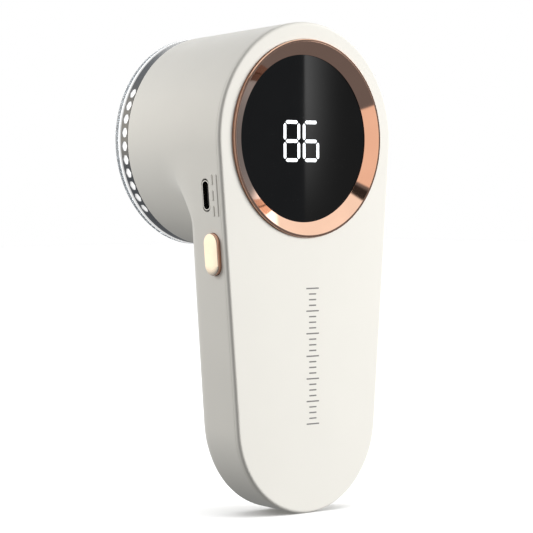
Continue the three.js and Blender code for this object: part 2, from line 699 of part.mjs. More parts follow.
add("motor_can", motorCan(), steel);
add("motor_end_cap", motorEndCap(), whitePlastic);
add("motor_magnet_1", magnet(-1), magnetGrey);
add("motor_magnet_2", magnet(1), magnetGrey);
add("motor_bearing", ring(1.1, 2.5, 32, 35.4, SMALL_STEPS), brass);
MOTOR_TERMINALS.forEach((x, i) => add(`motor_terminal_${i + 1}`, motorTerminal(x), brass));
add("motor_lead_red", wire(motorLead(MOTOR_TERMINALS[0], -1), LEAD_RADIUS, 12), redSleeve);
add("motor_lead_black", wire(motorLead(MOTOR_TERMINALS[1], 1), LEAD_RADIUS, 12), blackSleeve);
add("motor_shaft", disc(MOTOR.shaft, 14.3, 44, SMALL_STEPS), steel);
add("motor_armature", armature(), copper);
add("motor_commutator", ring(1.08, 3.2, 16.2, 18.3, SMALL_STEPS), brass);
add("motor_holder", motorHolder(), whitePlastic);
MOTOR_SCREWS.forEach((x, i) => add(`motor_screw_${i + 1}`, panScrew(x, 0, 36.3, 1.7, 1.0, 0.9, 3.8), steel));
DECK_SCREWS.forEach((a, i) => {
  const [x, z] = [DECK_RADIUS * Math.cos(a), DECK_RADIUS * Math.sin(a)];
  add(`holder_screw_${i + 1}`, panScrew(x, z, 29.7, 2.4, 1.4, 1.0, 8.5), steel);
});
add("shaft_seal", ring(1.2, 3.7, 36.35, 37.4, SMALL_STEPS), foam);

add("drive_coupler", driveCoupler(), greyPlastic);
add("blade_spring", bladeSpring(), steel);
add("blade_hub", bladeHub(), blackPlastic);
add("blade_star", bladeStar(), steel);
add("blade_rivet", bladeRivet(), brass);

add("foil_carrier", foilCarrier(), whitePlastic);
add("foil_cap", foilCap(), darkSteel);
add("guard_ring", guardRing(), clearPlastic);

export default shaver;
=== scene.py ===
# A handheld fabric shaver: fine surfaces, materials, floor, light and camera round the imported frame.
# Shapes are written in millimetres, as (x, depth, z): x to the right of the head axis, depth behind the flat
# front face along that axis, and z above it. The function at() turns them into metres in the row frame.
import math

import bmesh
import bpy
from mathutils import Matrix, Vector
from mathutils.geometry import delaunay_2d_cdt


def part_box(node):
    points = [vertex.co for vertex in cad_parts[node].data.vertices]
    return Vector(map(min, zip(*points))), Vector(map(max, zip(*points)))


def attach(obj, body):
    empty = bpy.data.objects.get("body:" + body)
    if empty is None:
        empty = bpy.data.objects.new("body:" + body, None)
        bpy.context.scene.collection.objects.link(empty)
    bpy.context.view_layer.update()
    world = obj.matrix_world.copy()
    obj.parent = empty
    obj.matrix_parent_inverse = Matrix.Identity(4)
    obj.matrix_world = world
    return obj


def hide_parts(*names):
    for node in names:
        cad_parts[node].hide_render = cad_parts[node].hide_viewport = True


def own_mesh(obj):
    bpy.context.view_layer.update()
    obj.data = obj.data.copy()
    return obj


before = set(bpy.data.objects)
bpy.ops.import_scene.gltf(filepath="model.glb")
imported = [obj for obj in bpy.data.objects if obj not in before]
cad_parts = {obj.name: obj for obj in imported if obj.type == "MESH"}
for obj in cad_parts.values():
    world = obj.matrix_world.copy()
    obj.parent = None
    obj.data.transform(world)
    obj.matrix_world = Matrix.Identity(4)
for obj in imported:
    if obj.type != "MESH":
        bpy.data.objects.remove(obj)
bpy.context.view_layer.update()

# ------------------------------------------------------------------ sizes, in millimetres
MM = 0.001


def node_size(node):
    """The lowest corner and the highest corner of a CAD node, in millimetres."""
    low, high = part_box(node)
    return Vector(low) / MM, Vector(high) / MM


foil_low, foil_high = node_size("foil_cap")
cover_low, cover_high = node_size("front_cover")
trim_low, trim_high = node_size("trim_ring")
guard_high = node_size("guard_ring")[1]

FRONT = cover_low.y
HEAD = (foil_low.z + foil_high.z) / 2
HEAD_RADIUS = cover_high.z - HEAD
FOOT_RADIUS = 28.3
FOOT_DROP = HEAD - cover_low.z - FOOT_RADIUS
TAPER = math.asin((HEAD_RADIUS - FOOT_RADIUS) / FOOT_DROP)
HANDLE_DEPTH = 17.6
BARREL_RIM = 46.5
DRAFT = 0.055
EDGE = 1.0
SEAM = 1.5
SEAM_GAP = 0.06
SEAM_LIP = 0.05
WALL = 1.8
BLEND = 3.0

TRIM_RADIUS = trim_high.x
TRIM_PROUD = FRONT - trim_low.y
WINDOW_RADIUS = 25.35
LENS_RADIUS = 27.9
LENS_FRONT = 1.75
FOIL_RADIUS = foil_high.x
FOIL_OPEN = foil_low.y - FRONT
FOIL_FACE = foil_high.y - FRONT
FOIL_SHEET = 0.25
FOIL_CORNER = 0.3
FOIL_STEPS = 264
SKIRT_TOP = FOIL_FACE - FOIL_CORNER
SKIRT_BOTTOM = FOIL_OPEN + 0.1
# The holes in the cap's side stand in groups; the angles in degrees run from +X towards +Z.
SIDE_HOLES = {"groups": (187, 307, 67), "each": 10, "pitch": 7.5, "wide": 2.95, "high": 2.8, "soft": 0.5}
GUARD_NEAR = FOIL_FACE + 0.25
GUARD_FACE = guard_high.y - FRONT

SOCKET = {"depth": 8.2, "z": -14.3, "length": 8.94, "width": 3.26, "mouth": -34.72, "tail": -27.4}
BUTTON = {"depth": 6.0, "z": -31.8, "length": 12.6, "width": 6.2, "top": -36.3, "stem": -29.6}
DIGITS = {"centres": (-4.9, 2.93), "z": -0.78, "width": 6.7, "height": 12.55, "stroke": 1.06, "gap": 0.66}
COVER_SCREWS = ((-24.3, -52), (24.3, -52), (0, -106))
SCREW_SEAT = 12.4

ROUND = 2 * math.pi


def at(x, depth, z):
    """A place on the object, turned from millimetres into metres in the row frame."""
    return Vector((x, FRONT + depth, HEAD + z)) * MM


# ------------------------------------------------------------------ meshes
def mesh_object(name, verts, faces):
    """A new object in the scene, made of points and faces."""
    mesh = bpy.data.meshes.new(name)
    mesh.from_pydata([tuple(v) for v in verts], [], faces)
    obj = bpy.data.objects.new(name, mesh)
    bpy.context.scene.collection.objects.link(obj)
    return obj


def piece(name, verts, faces, material, body, slot, replaced=(), sharp=38):
    """Adds a closed piece of the object, smooth except at its sharp edges."""
    obj = mesh_object(name, verts, faces)
    tidy_mesh(obj, sharp)
    obj.data.materials.append(material)
    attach(obj, body)
    if replaced:
        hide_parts(*replaced)
    return obj


def tidy_mesh(obj, sharp=38):
    """Welds the points that meet, turns the faces outwards, and smooths all but the sharp edges."""
    bm = bmesh.new()
    bm.from_mesh(obj.data)
    bmesh.ops.remove_doubles(bm, verts=bm.verts, dist=1e-7)
    bmesh.ops.recalc_face_normals(bm, faces=bm.faces)
    bm.to_mesh(obj.data)
    bm.free()
    obj.data.shade_smooth()
    obj.data.set_sharp_from_angle(angle=math.radians(sharp))
    if "normals" not in obj.modifiers:
        normals = obj.modifiers.new("normals", "WEIGHTED_NORMAL")
        normals.keep_sharp = True


def loft(rings, closed):
    """Faces between rings of equal length. closed joins the last ring to the first; otherwise the first and
    the last ring are capped."""
    count = len(rings[0])
    verts = [v for ring in rings for v in ring]
    faces = []
    pairs = len(rings) if closed else len(rings) - 1
    for r in range(pairs):
        a, b = r * count, ((r + 1) % len(rings)) * count
        for i in range(count):
            j = (i + 1) % count
            faces.append((a + i, a + j, b + j, b + i))
    if not closed:
        faces.append(tuple(range(count)))
        faces.append(tuple(range(len(verts) - 1, len(verts) - 1 - count, -1)))
    return verts, faces


def rounded(corners, segments=5):
    """A closed outline of (u, v, fillet) corners, with each fillet drawn as an arc."""
    points = []
    for i, (u, v, fillet) in enumerate(corners):
        here = Vector((u, v))
        before = Vector(corners[i - 1][:2]) - here
        after = Vector(corners[(i + 1) % len(corners)][:2]) - here
        if fillet <= 0:
            points.append((u, v))
            continue
        half = before.angle(after) / 2
        centre = here + (before.normalized() + after.normalized()).normalized() * fillet / math.sin(half)
        start = here + before.normalized() * fillet / math.tan(half) - centre
        sweep = start.angle_signed(here + after.normalized() * fillet / math.tan(half) - centre)
        for k in range(segments + 1):
            turn = Matrix.Rotation(-sweep * k / segments, 2)
            spoke = turn @ start
            points.append((centre.x + spoke.x, centre.y + spoke.y))
    return points


def lathe(profile, steps=240, closed=True):
    """Rings of a (radius, depth) profile turned about the head axis."""
    angles = [ROUND * i / steps for i in range(steps)]
    rings = [[at(r * math.cos(a), d, r * math.sin(a)) for a in angles] for r, d in profile]
    return loft(rings, closed)


def spun(x, z, profile, steps=48):
    """A capped stack of circles about an axis at (x, z); profile is a list of (depth, radius)."""
    turns = [ROUND * i / steps for i in range(steps)]
    rings = [[at(x + r * math.cos(a), depth, z + r * math.sin(a)) for a in turns] for depth, r in profile]
    return loft(rings, closed=False)


def turned(name, corners, material, body, slot, replaced=(), steps=240):
    """A ring about the head axis, whose section is a closed outline of (radius, depth, fillet) corners."""
    return piece(name, *lathe(rounded(corners), steps), material, body, slot, replaced)


# ------------------------------------------------------------------ the paddle outline
def paddle_reach(angle, inset):
    """Distance from the head axis to the outline, drawn in by inset, in the direction of an angle."""
    head, foot = HEAD_RADIUS - inset, FOOT_RADIUS - inset
    dx, dz = abs(math.cos(angle)), math.sin(angle)
    slope = math.atan2(dz, dx)
    if slope >= -TAPER:
        return head
    if slope > math.atan2(-FOOT_DROP - foot * math.sin(TAPER), foot * math.cos(TAPER)):
        return head / (dx * math.cos(TAPER) - dz * math.sin(TAPER))
    drop = -dz * FOOT_DROP
    return drop + math.sqrt(drop * drop - FOOT_DROP * FOOT_DROP + foot * foot)


def outline_angles(head_steps=132, side_steps=34, foot_steps=64):
    """Angles about the head axis: head arc, left side, foot arc, right side."""

    def spread(start, end, steps):
        return [start + (end - start) * i / steps for i in range(steps)]

    def on_foot(a):
        return math.atan2(FOOT_RADIUS * math.sin(a) - FOOT_DROP, FOOT_RADIUS * math.cos(a))

    left, right = math.pi + TAPER, ROUND - TAPER
    return (
        spread(-TAPER, left, head_steps)
        + spread(TAPER - math.pi, on_foot(left), side_steps)
        + [on_foot(a) for a in spread(left, right, foot_steps)]
        + spread(on_foot(right), -TAPER, side_steps)
    )


ANGLES = outline_angles()


def paddle_ring(depth, reach):
    """One ring about the head axis. depth and reach are numbers, or functions of the angle."""
    size = reach if callable(reach) else lambda a: reach
    behind = depth if callable(depth) else lambda a: depth
    return [at(size(a) * math.cos(a), behind(a), size(a) * math.sin(a)) for a in ANGLES]


def outline_ring(depth, inset):
    """One ring along the paddle's outline, drawn in by inset."""
    return paddle_ring(depth, lambda a: paddle_reach(a, inset))


def draft_inset(depth):
    """How far the moulding draft has drawn the side walls in at a depth."""
    return DRAFT * (depth - EDGE)


def barrel_radius(depth):
    """The outer radius of the head barrel at a depth."""
    return HEAD_RADIUS - draft_inset(depth)


def quarter(steps):
    """The angles of a quarter turn in equal steps."""
    return [math.pi / 2 * i / steps for i in range(steps + 1)]


def smooth(t):
    """Eases from 0 to 1, and stays there outside that range."""
    t = min(1, max(0, t))
    return t * t * (3 - 2 * t)


def body_rings(wall, blend, near, far, steps, ramp=8.0, flare=0.0, flare_rise=7.5):
    """Rings from the housing's front edge, round the handle's rear edge and the barrel's root, to the rim.
    Where the paddle stands only a little outside the barrel, the two roundings melt into one long ramp.
    flare draws the rear edge back there, until the paddle stands flare_rise outside the barrel."""

    def height(a):
        return paddle_reach(a, 0) - HEAD_RADIUS

    def back(a):
        return HANDLE_DEPTH - wall + flare * (1 - smooth(height(a) / flare_rise))

    def reach(a, depth, step_out):
        paddle = paddle_reach(a, draft_inset(depth) + wall)
        barrel = barrel_radius(depth) - wall
        rise = paddle - barrel
        stepped = paddle - step_out(min(blend, rise / 2), rise)
        ramped = paddle - rise * smooth((depth - back(a) + ramp) / (2 * ramp))
        return ramped + (stepped - ramped) * smooth(rise / (2 * blend))

    def ring(offset, step_out):
        return paddle_ring(lambda a: back(a) + offset, lambda a: reach(a, back(a) + offset, step_out))

    rings = [outline_ring(near, draft_inset(near) + wall)]
    for part in (1.0, 0.75, 0.55):
        rings.append(ring(-part * ramp, lambda rounding, rise: 0))
    for t in quarter(steps):
        rings.append(ring(-blend * (1 - math.sin(t)), lambda r, rise, t=t: r * (1 - math.cos(t))))
    for t in quarter(steps):
        rings.append(ring(blend * (1 - math.cos(t)), lambda r, rise, t=t: rise - r * (1 - math.sin(t))))
    for part in (0.55, 0.75, 1.0):
        rings.append(ring(part * ramp, lambda rounding, rise: rise))
    rings.append(paddle_ring(far, barrel_radius(far) - wall))
    return rings


# ------------------------------------------------------------------ shapes across the flat left side
SIDE = Matrix.Translation(at(0, 0, 0)) @ Matrix.Rotation(-TAPER, 4, "Y")


def on_side(x, depth, z):
    """A point in the frame of the flat left side wall, which lies across x there."""
    return SIDE @ (Vector((x, depth, z)) * MM)


def slot_ring(x, length, width, depth, z, inset=0.0, steps=24):
    """A round-ended slot outline, length along z and width in depth, drawn in by inset."""
    radius = width / 2 - inset
    straight = (length - width) / 2
    points = []
    for end in (1, -1):
        for i in range(steps + 1):
            a = math.pi * i / steps + (0 if end > 0 else math.pi)
            points.append(on_side(x, depth + radius * math.cos(a), z + end * straight + radius * math.sin(a)))
    return points


def side_slot(shape, profile):
    """A capped stack of slot outlines; profile is a list of (x, inset)."""
    size = (shape["length"], shape["width"], shape["depth"], shape["z"])
    return loft([slot_ring(x, *size, inset=inset) for x, inset in profile], closed=False)


# ------------------------------------------------------------------ materials
class Nodes:
    """A material's node tree, with short ways to add the few nodes that the materials use."""

    def __init__(self, name):
        self.material = bpy.data.materials.new(name)
        self.material.use_nodes = True
        self.tree = self.material.node_tree
        self.shader = self.tree.nodes["Principled BSDF"]
        self.coordinates = self.tree.nodes.new("ShaderNodeTexCoord").outputs["Object"]

    def link(self, a, b):
        self.tree.links.new(a, b)

    def noise(self, scale, detail=3.0, stretch=(1, 1, 1)):
        mapping = self.tree.nodes.new("ShaderNodeMapping")
        mapping.inputs["Scale"].default_value = stretch
        self.link(self.coordinates, mapping.inputs["Vector"])
        noise = self.tree.nodes.new("ShaderNodeTexNoise")
        noise.inputs["Scale"].default_value = scale
        noise.inputs["Detail"].default_value = detail
        self.link(mapping.outputs["Vector"], noise.inputs["Vector"])
        return noise.outputs["Fac"]

    def between(self, value, low, high):
        spread = self.tree.nodes.new("ShaderNodeMapRange")
        spread.inputs["From Min"].default_value = 0.3
        spread.inputs["From Max"].default_value = 0.7
        spread.inputs["To Min"].default_value = low
        spread.inputs["To Max"].default_value = high
        self.link(value, spread.inputs["Value"])
        return spread.outputs["Result"]

    def colours(self, value, first, second):
        mix = self.tree.nodes.new("ShaderNodeMix")
        mix.data_type = "RGBA"
        mix.inputs["A"].default_value = (*first, 1)
        mix.inputs["B"].default_value = (*second, 1)
        self.link(self.between(value, 0, 1), mix.inputs["Factor"])
        return mix.outputs["Result"]

    def bump(self, value, distance, strength=1.0):
        bump = self.tree.nodes.new("ShaderNodeBump")
        bump.inputs["Strength"].default_value = strength
        bump.inputs["Distance"].default_value = distance
        self.link(value, bump.inputs["Height"])
        self.link(bump.outputs["Normal"], self.shader.inputs["Normal"])

    def set(self, **values):
        for key, value in values.items():
            self.shader.inputs[key.replace("_", " ")].default_value = value


def shade(colour, factor):
    return tuple(min(1, c * factor) for c in colour)


def moulded(name, colour, roughness, grain=2600, depth=0.000006, tint=0.985, glow=0.0):
    """Moulded plastic: a very fine spark-eroded grain and a faint unevenness of colour and gloss."""
    n = Nodes(name)
    n.link(n.colours(n.noise(60, 2), colour, shade(colour, tint)), n.shader.inputs["Base Color"])
    n.link(n.between(n.noise(140, 4), roughness * 0.92, roughness * 1.08), n.shader.inputs["Roughness"])
    n.bump(n.noise(grain, 2), depth)
    # glow makes a part that is no lamp shine on its own: painted light.
    n.set(Emission_Strength=glow, Emission_Color=(1, 1, 1, 1))
    return n.material


def metal(name, colour, roughness, stretch=(1, 1, 1), scale=900, depth=0.000002):
    """Metal with fine finishing lines, or an even polish where stretch is 1."""
    n = Nodes(name)
    lines = n.noise(scale, 3, stretch)
    n.link(n.colours(n.noise(90, 2), colour, shade(colour, 0.94)), n.shader.inputs["Base Color"])
    n.link(n.between(lines, roughness * 0.8, roughness * 1.25), n.shader.inputs["Roughness"])
    n.bump(lines, depth, 0.4)
    n.set(Metallic=1.0)
    return n.material


def display_glass():
    """Black glass: near-perfect polish with the faintest smear."""
    n = Nodes("black_glass")
    smear = n.colours(n.noise(70, 2), (0.003, 0.003, 0.003), (0.004, 0.004, 0.004))
    n.link(smear, n.shader.inputs["Base Color"])
    n.link(n.between(n.noise(45, 3, (1, 1, 0.4)), 0.02, 0.035), n.shader.inputs["Roughness"])
    n.set(IOR=1.5)
    return n.material


def lit_segment():
    """The cool white glow of a lit bar."""
    n = Nodes("lit_segment")
    glow = n.colours(n.noise(900, 1), (0.96, 0.98, 1.0), (0.88, 0.92, 0.96))
    n.link(glow, n.shader.inputs["Base Color"])
    n.link(glow, n.shader.inputs["Emission Color"])
    n.set(Emission_Strength=0.88, Roughness=0.3)
    return n.material


def clear_plastic():
    """Clear moulded plastic, a little milky."""
    n = Nodes("clear_guard_plastic")
    n.link(n.colours(n.noise(50, 2), (0.93, 0.96, 0.98), (0.89, 0.93, 0.96)), n.shader.inputs["Base Color"])
    n.link(n.between(n.noise(400, 3), 0.0, 0.03), n.shader.inputs["Roughness"])
    n.set(Transmission_Weight=0.78, IOR=1.46)
    return n.material


def circuit_board():
    """Green solder mask over faint copper tracks."""
    n = Nodes("circuit_board_mask")
    tracks = n.noise(220, 0, (1, 1, 0.25))
    n.link(n.colours(tracks, (0.01, 0.07, 0.035), (0.02, 0.12, 0.06)), n.shader.inputs["Base Color"])
    n.link(n.between(tracks, 0.3, 0.42), n.shader.inputs["Roughness"])
    n.bump(tracks, 0.00003)
    return n.material


ivory = moulded("ivory_satin_plastic", (0.82, 0.80, 0.745), 0.42)
white = moulded("white_plastic", (0.86, 0.86, 0.84), 0.4)
# Painted light: this white plastic glows a little, though it is no lamp, so the foil carrier and the guard's
# band stay bright.
glowing_white = moulded("white_plastic_painted_glow", (0.94, 0.94, 0.94), 0.4, glow=0.5)
black = moulded("black_plastic", (0.012, 0.012, 0.013), 0.45)
grey = moulded("grey_plastic", (0.26, 0.27, 0.28), 0.5)
print_grey = moulded("printed_grey_ink", (0.22, 0.215, 0.205), 0.5, grain=4000)
foam = moulded("closed_cell_foam", (0.02, 0.02, 0.022), 0.95, grain=1600, depth=0.0002, tint=0.6)
red_sleeve = moulded("red_wire_sleeve", (0.45, 0.02, 0.015), 0.45)
black_sleeve = moulded("black_wire_sleeve", (0.01, 0.01, 0.01), 0.45)
rose_gold = metal("rose_gold_polish", (0.93, 0.57, 0.42), 0.05, scale=300, depth=0.0000004)
button_gold = metal("pale_gold_polish", (0.98, 0.87, 0.73), 0.12, scale=300, depth=0.0000006)
steel = metal("plated_steel", (0.62, 0.63, 0.64), 0.28)
bright_steel = metal("socket_steel", (0.72, 0.73, 0.74), 0.2)
foil_steel = metal("dark_etched_steel", (0.23, 0.235, 0.24), 0.3, scale=1500)
blade_steel = metal("ground_blade_steel", (0.66, 0.67, 0.68), 0.22, stretch=(1, 0.1, 1), scale=1400)
brass = metal("turned_brass", (0.70, 0.50, 0.20), 0.25)
copper = metal("enamelled_copper", (0.62, 0.26, 0.12), 0.3, stretch=(1, 8, 1), scale=700, depth=0.00004)
ferrite = metal("sintered_ferrite", (0.06, 0.06, 0.065), 0.6, scale=2000)
pouch = metal("laminated_pouch", (0.55, 0.57, 0.59), 0.38, scale=500, depth=0.00001)
glass = display_glass()
lit = lit_segment()
clear = clear_plastic()
board = circuit_board()


# ------------------------------------------------------------------ casings
def carve(target, cutters, added=()):
    """Joins the added shapes to the target, cuts the cutters out of it, and removes both."""
    tools = [("UNION", shape) for shape in added] + [("DIFFERENCE", shape) for shape in cutters]
    for operation, shape in tools:
        step = target.modifiers.new("carve", "BOOLEAN")
        step.operation = operation
        step.solver = "EXACT"
        step.object = shape
    target.modifiers.remove(target.modifiers["normals"])
    bpy.context.view_layer.update()
    depsgraph = bpy.context.evaluated_depsgraph_get()
    mesh = bpy.data.meshes.new_from_object(target.evaluated_get(depsgraph))
    target.modifiers.clear()
    target.data = mesh
    tidy_mesh(target)
    for _, shape in tools:
        bpy.data.objects.remove(shape)


def tool_shape(name, verts, faces):
    """A plain closed shape for carve() to use up."""
    obj = mesh_object(name, verts, faces)
    tidy_mesh(obj)
    obj.modifiers.clear()
    return obj


def wall_x(depth):
    """Where the flat side wall lies at a depth, in the side frame."""
    return -barrel_radius(depth)


def slot_cutter(name, shape, play, chamfer, spare_length=0.0, through=4.0):
    """A slot through the side wall, a little larger than the shape, with a chamfered mouth."""
    wall = wall_x(shape["depth"])
    hole = {**shape, "length": shape["length"] + spare_length}
    wide, narrow = -play - chamfer, -play
    profile = [(wall - 2, wide), (wall - 0.1, wide), (wall + chamfer, narrow), (wall + through, narrow)]
    return tool_shape(name, *side_slot(hole, profile))


def screw_boss(x, z, radius=3.45, near=10):
    """The hollow post inside the back that a cover screw stands in, before its hole is cut."""
    return tool_shape("boss", *spun(x, z, [(near, radius), (HANDLE_DEPTH - WALL / 2, radius)]))


def screw_recess(x, z, radius=2.8, hole=1.45, bevel=0.35, near=9):
    """The stepped hole for a cover screw, with a bevelled mouth."""
    mouth = HANDLE_DEPTH + 0.02
    steps = [(near, hole), (SCREW_SEAT, hole), (SCREW_SEAT, radius), (mouth - bevel, radius)]
    steps += [(mouth, radius + bevel), (mouth + 1, radius + bevel)]
    return tool_shape("recess", *spun(x, z, steps))


def rear_housing(rim_round=0.35, inner_blend=1.2):
    """The rear casing: side wall, handle back and head barrel in one, with its slots and screw holes."""
    near = SEAM + SEAM_GAP
    outer = body_rings(0, BLEND, near + SEAM_LIP, BARREL_RIM - rim_round, 10, flare=6.0)
    rim = []
    for t in quarter(4)[1:]:
        radius = barrel_radius(BARREL_RIM) - rim_round * (1 - math.cos(t))
        rim.append(paddle_ring(BARREL_RIM - rim_round + rim_round * math.sin(t), radius))
    inner = body_rings(WALL, inner_blend, near, BARREL_RIM, 3)
    front = outline_ring(near, SEAM_LIP + draft_inset(near))
    shell = loft([front, *outer, *rim, *reversed(inner)], closed=True)
    housing = piece("rear_housing_shell", *shell, ivory, "body", "ivory_plastic", ["rear_housing"])
    cutters = [
        slot_cutter("socket_hole", SOCKET, 0.16, 0.06, spare_length=0.75),
        slot_cutter("button_hole", BUTTON, 0.08, 0.1),
    ]
    cutters += [screw_recess(x, z) for x, z in COVER_SCREWS]
    carve(housing, cutters, [screw_boss(x, z) for x, z in COVER_SCREWS])


def cross_bar(x, z, upright, length=3.1, width=0.75, near=13.1, far=14.6):
    """One bar of a screw's cross recess, narrower at its floor."""
    corners = ((-1, -1), (1, -1), (1, 1), (-1, 1))
    rings = []
    for depth, size in ((near, 0.75), (far, 1.1)):
        half = (width / 2 * size, length / 2 * size)
        across, along = half if upright else reversed(half)
        rings.append([at(x + u * across, depth, z + v * along) for u, v in corners])
    return tool_shape("cross", *loft(rings, closed=False))


def cover_screws(head=2.5, shank=1.25, height=1.7, dome=0.55):
    """Domed cross-head screws at the bottom of the three holes in the back."""
    under = SCREW_SEAT + 0.1
    for i, (x, z) in enumerate(COVER_SCREWS):
        profile = [(under - 8.5, shank), (under, shank), (under, head - 0.1), (under + 0.1, head)]
        crown = [(under + height - dome * (1 - math.sin(t)), head * math.cos(t)) for t in quarter(8)[:-1]]
        shape = spun(x, z, profile + crown + [(under + height, 0.05)])
        name = f"cover_screw_head_{i + 1}"
        screw = piece(name, *shape, steel, "body", "screw_steel", [f"cover_screw_{i + 1}"])
        carve(screw, [cross_bar(x, z, True), cross_bar(x, z, False)])


def front_cover(lens_stop=0.4, ledge=2.0, tongue_end=4.5):
    """The flat cover: rounded edge, seat for the display, and a tongue that stands inside the housing."""
    hole, seat = TRIM_RADIUS + 0.1, LENS_RADIUS + 0.3
    tongue = WALL + 0.5
    rings = [paddle_ring(lens_stop, hole), paddle_ring(0.1, hole), paddle_ring(0, hole + 0.1)]
    rings += [paddle_ring(0, hole + 1), outline_ring(0, EDGE + 0.4)]
    rings += [outline_ring(EDGE * (1 - math.cos(t)), EDGE * (1 - math.sin(t))) for t in quarter(10)]
    rings += [outline_ring(SEAM - SEAM_LIP, 0), outline_ring(SEAM, SEAM_LIP)]
    rings += [outline_ring(SEAM, tongue), outline_ring(tongue_end, tongue)]
    rings += [outline_ring(tongue_end, tongue + 1), outline_ring(ledge, tongue + 1)]
    rings += [paddle_ring(ledge, hole + 0.6), paddle_ring(ledge, seat), paddle_ring(lens_stop, seat)]
    piece("front_cover_shell", *loft(rings, closed=True), ivory, "body", "ivory_plastic", ["front_cover"])


def raised_bar(name, depth0, depth1, z0, z1, height=0.28):
    """A low raised mark with rounded ends on the flat side wall."""
    shape = {"depth": (depth0 + depth1) / 2, "z": (z0 + z1) / 2, "length": z1 - z0, "width": depth1 - depth0}
    wall = wall_x(shape["depth"])
    profile = [(wall + 0.3, 0), (wall - height + 0.1, 0), (wall - height, 0.1)]
    piece(name, *side_slot(shape, profile), ivory, "body", "ivory_plastic")


def direct_current_mark(bar_near=2.4, dash_near=4.45, thick=0.85, reach=6.2):
    """The usual sign for direct current beside the socket: one long bar and three dashes."""
    middle, dash = SOCKET["z"], reach / 2
    raised_bar("current_mark_bar", bar_near, bar_near + thick, middle - reach, middle + reach)
    for i in (-1, 0, 1):
        centre = middle + i * (reach - dash / 2)
        ends = (centre - dash / 2, centre + dash / 2)
        raised_bar(f"current_mark_dash_{i + 2}", dash_near, dash_near + thick, *ends)


def printed_scale(top=-45.4, bottom=-86.6, count=25, long_every=4, ink=0.012, sunk=0.05):
    """A plain graduated strip printed down the handle, of short lines with a longer one at intervals."""
    middle, thick = 1.8, 0.42
    for i in range(count):
        z = top + (bottom - top) * i / (count - 1)
        half = 2.6 if i % long_every == 0 else 1.5
        corners = [(-half, -thick), (half, -thick), (half, thick), (-half, thick)]
        outline = rounded([(middle + u, z + v / 2, thick * 0.4) for u, v in corners], 3)
        rings = [[at(u, depth, v) for u, v in outline] for depth in (-ink, sunk)]
        piece(f"printed_line_{i + 1}", *loft(rings, closed=False), print_grey, "body", "grey_plastic")


# ------------------------------------------------------------------ display
def trim_ring(root=0.3):
    """The polished conical ring round the display."""
    back = LENS_FRONT - 0.1
    corners = [
        (TRIM_RADIUS, root, 0),
        (TRIM_RADIUS, -TRIM_PROUD, 0.22),
        (TRIM_RADIUS - 0.75, -TRIM_PROUD, 0.14),
        (WINDOW_RADIUS, back - 0.12, 0.08),
        (WINDOW_RADIUS, back, 0),
        (LENS_RADIUS + 0.1, back, 0),
        (LENS_RADIUS + 0.1, root, 0),
    ]
    turned("trim_ring_polished", corners, rose_gold, "body", "rose_gold", ["trim_ring"], steps=360)


def display_lens(centre=0.01, back=3.15, edge=0.15):
    """The round glass of the display."""
    corners = [(centre, LENS_FRONT, 0), (LENS_RADIUS, LENS_FRONT, edge)]
    corners += [(LENS_RADIUS, back, edge), (centre, back, 0)]
    turned("display_glass", corners, glass, "body", "smoked_glass", ["display_lens"], steps=180)


def segment(name, x, z, length, upright, soft=0.07, proud=0.02, sunk=0.05):
    """One lit bar of a digit: a long hexagon with softened corners, just proud of the glass."""
    half, tip = length / 2, DIGITS["stroke"] / 2
    outline = [(-half, 0, soft), (-half + tip, -tip, soft), (half - tip, -tip, soft)]
    outline += [(half, 0, soft), (half - tip, tip, soft), (-half + tip, tip, soft)]
    places = [(x + v, z + u) if upright else (x + u, z + v) for u, v in rounded(outline, 3)]
    rings = [[at(px, depth, pz) for px, pz in places] for depth in (LENS_FRONT - proud, LENS_FRONT + sunk)]
    piece(name, *loft(rings, closed=False), lit, "body", "digit_white")


def digits():
    """A number reading of two digits, eight and six, in seven-segment bars."""
    wide, high = DIGITS["width"] - DIGITS["stroke"], DIGITS["height"] - DIGITS["stroke"]
    bars = {"top": 1, "middle": 0, "bottom": -1}
    posts = {"upper_left": (-1, 1), "upper_right": (1, 1), "lower_left": (-1, -1), "lower_right": (1, -1)}
    shown = {"eight": {*bars, *posts}, "six": {*bars, *posts} - {"upper_right"}}
    for (digit, lit_parts), centre in zip(shown.items(), DIGITS["centres"]):
        for part in sorted(lit_parts & set(bars)):
            z = DIGITS["z"] + bars[part] * high / 2
            segment(f"digit_{digit}_{part}", centre, z, wide - DIGITS["gap"], upright=False)
        for part in sorted(lit_parts & set(posts)):
            side, level = posts[part]
            x, z = centre + side * wide / 2, DIGITS["z"] + level * high / 4
            segment(f"digit_{digit}_{part}", x, z, high / 2 - DIGITS["gap"], upright=True)


# ------------------------------------------------------------------ side controls
def power_button(shoulder=-32.9, stem_inset=0.9):
    """The button's cap on its narrower stem: a pale, slightly domed face with a rose-gold edge."""
    top, crown, fillet = BUTTON["top"], 0.06, 0.24
    profile = [(BUTTON["stem"], stem_inset), (shoulder, stem_inset), (shoulder, 0)]
    profile += [(top + crown + fillet * (1 - math.sin(t)), fillet * (1 - math.cos(t))) for t in quarter(8)]
    profile += [(top + crown * 0.35, 1.3), (top, 2.4)]
    cap = side_slot(BUTTON, profile)
    button = piece("power_button_cap", *cap, button_gold, "power_button", "rose_gold", ["power_button"])
    button.data.materials.append(rose_gold)
    for face in button.data.polygons:
        across = face.normal.x * math.cos(TAPER) + face.normal.z * math.sin(TAPER)
        face.material_index = 1 if abs(across) < 0.6 else 0


